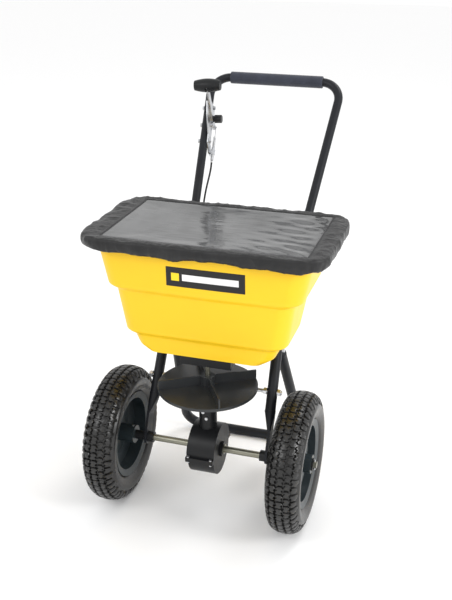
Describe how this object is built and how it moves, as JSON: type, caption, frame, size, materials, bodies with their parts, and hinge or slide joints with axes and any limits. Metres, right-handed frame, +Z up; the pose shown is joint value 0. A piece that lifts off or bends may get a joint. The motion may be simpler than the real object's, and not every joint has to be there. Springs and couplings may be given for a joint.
{
  "type": "walk-behind broadcast spreader",
  "caption": "Walk-behind broadcast spreader: covered tapered hopper over a wheel-driven spinner disc, two pneumatic wheels, tube frame with stand, push handle and shutter lever.",
  "frame": {"origin": "on the ground, under the middle of the whole machine's outline", "axes": "+Z up, front of the hopper towards -Y, push handle towards +Y, wheel axle along X"},
  "size_m": [0.562, 0.7826, 0.9405],
  "materials": {
    "yellow_plastic": "moulded, satin gloss",
    "black_frame": "black powder coat",
    "black_plastic": "moulded, matt",
    "grey_plastic": "moulded, slightly shiny",
    "dull_steel": "dull plated steel",
    "zinc": "bright zinc",
    "tyre_rubber": "treaded rubber",
    "tube_rubber": "butyl rubber",
    "foam": "soft foam",
    "cover_fabric": "coated woven polyester",
    "window_vinyl": "clear grey vinyl film",
    "label_film": "printed plastic label"
  },
  "bodies": {
    "frame": {"hopper": "yellow_plastic", "outlet_base": "black_plastic", "base_bolts": "zinc", "shutter_guides": "black_plastic", "cable_anchor": "black_frame", "gearbox_upper": "black_plastic", "gearbox_lower": "black_plastic", "gearbox_screws": "zinc", "gearbox_bushes": "dull_steel", "shaft_bushes": "dull_steel", "axle_bearings": "black_plastic", "frame_leg_left": "black_frame", "frame_leg_right": "black_frame", "tie_rod": "zinc", "tie_nuts": "zinc", "hopper_bracket": "black_frame", "bracket_bolts": "zinc", "stand": "black_frame", "stand_bolts": "zinc", "handle": "black_frame", "handle_bolts": "zinc", "foam_grip": "foam", "gauge_plate": "zinc", "plate_bolts": "zinc", "cable_adjuster": "zinc", "cable_spring": "zinc", "cable_sheath": "black_plastic", "front_label": "label_film"},
    "axle_set": {"axle": "dull_steel", "crown_gear": "dull_steel", "crown_pin": "zinc", "drive_pin": "zinc", "cotter_pins": "zinc", "axle_washers": "black_plastic", "tyre_left": "tyre_rubber", "rim_left": "black_plastic", "inner_tube_left": "tube_rubber", "valve_left": "zinc"},
    "free_wheel": {"tyre_right": "tyre_rubber", "rim_right": "black_plastic", "inner_tube_right": "tube_rubber", "valve_right": "zinc"},
    "spinner": {"impeller": "grey_plastic", "impeller_shaft": "dull_steel", "shaft_pins": "zinc", "pinion_gear": "dull_steel", "agitator": "black_plastic"},
    "shutter": {"shutter_plate": "zinc"},
    "control_lever": {"lever": "zinc", "lever_grip": "black_plastic"},
    "knob": {"lock_knob": "black_plastic"},
    "cable_wire": {"inner_wire": "zinc"},
    "cover": {"rain_cover": "cover_fabric", "cover_window": "window_vinyl"}
  },
  "joints": [
    {"name": "axle_spin", "type": "hinge", "parent": "frame", "child": "axle_set", "pos_m": [0, -0.22625, 0.165], "axis": [1, 0, 0], "continuous": true},
    {"name": "free_wheel_spin", "type": "hinge", "parent": "axle_set", "child": "free_wheel", "pos_m": [0.2185, -0.22625, 0.165], "axis": [1, 0, 0], "continuous": true},
    {"name": "spinner_spin", "type": "hinge", "parent": "frame", "child": "spinner", "pos_m": [0.005, -0.22625, 0.33], "axis": [0, 0, 1], "continuous": true},
    {"name": "lever_turn", "type": "hinge", "parent": "frame", "child": "control_lever", "pos_m": [-0.14659, 0.29634, 0.82878], "axis": [0.9972, 0.048, 0.0581], "range_deg": [0, 55]},
    {"name": "shutter_slide", "type": "slide", "parent": "frame", "child": "shutter", "axis": [0, 1, 0], "range_m": [0, 0.0235]},
    {"name": "wire_slide", "type": "slide", "parent": "frame", "child": "cable_wire", "axis": [-0.0753, 0.635, 0.7688], "range_m": [0, 0.0233]},
    {"name": "knob_turn", "type": "hinge", "parent": "frame", "child": "knob", "pos_m": [-0.14659, 0.29634, 0.82878], "axis": [0.9972, 0.048, 0.0581], "range_deg": [-90, 90]},
    {"name": "cover_lift", "type": "slide", "parent": "frame", "child": "cover", "axis": [0, 0, 1], "range_m": [0, 0.2]}
  ],
  "couplings": [
    {"joint": "spinner_spin", "follows": "axle_spin", "ratio": -3},
    {"joint": "shutter_slide", "follows": "lever_turn", "m_per_rad": 0.02448},
    {"joint": "wire_slide", "follows": "lever_turn", "m_per_rad": 0.024272}
  ]
}
